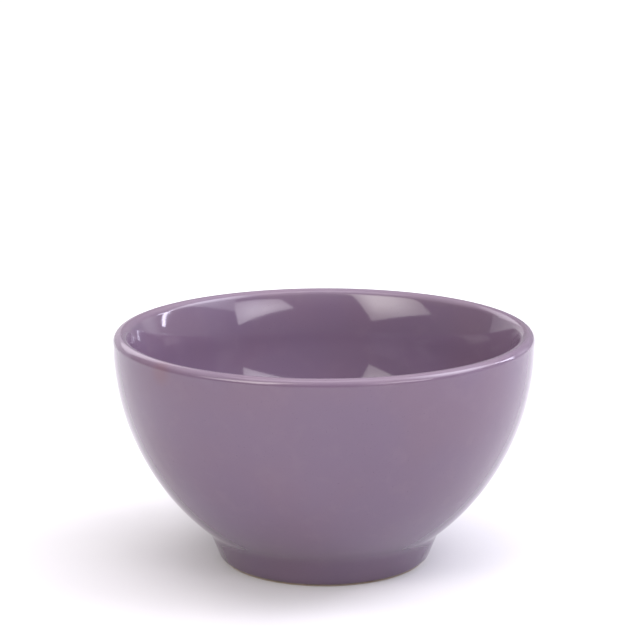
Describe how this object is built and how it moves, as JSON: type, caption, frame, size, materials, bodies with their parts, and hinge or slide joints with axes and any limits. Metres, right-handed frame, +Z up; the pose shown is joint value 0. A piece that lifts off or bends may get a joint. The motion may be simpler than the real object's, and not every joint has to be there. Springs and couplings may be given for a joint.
{
  "type": "hair colour mixing bowl",
  "caption": "Small glazed stoneware bowl on a flared foot ring: deep hollow, thick wall thinned to a round lip, lilac glaze, bare clay only where it stands.",
  "frame": {"origin": "centre of the foot ring, on the ground that the bowl stands on", "axes": "+Z up along the bowl's axis of revolution; X and Y lie in the ground and are alike, because the bowl is round"},
  "size_m": [0.14, 0.14, 0.0778],
  "materials": {
    "fired_clay": "matte",
    "glaze": "gloss"
  },
  "bodies": {
    "root": {"clay_body": "fired_clay", "glaze_coat": "glaze", "foot_recess_glaze": "glaze"}
  },
  "joints": []
}
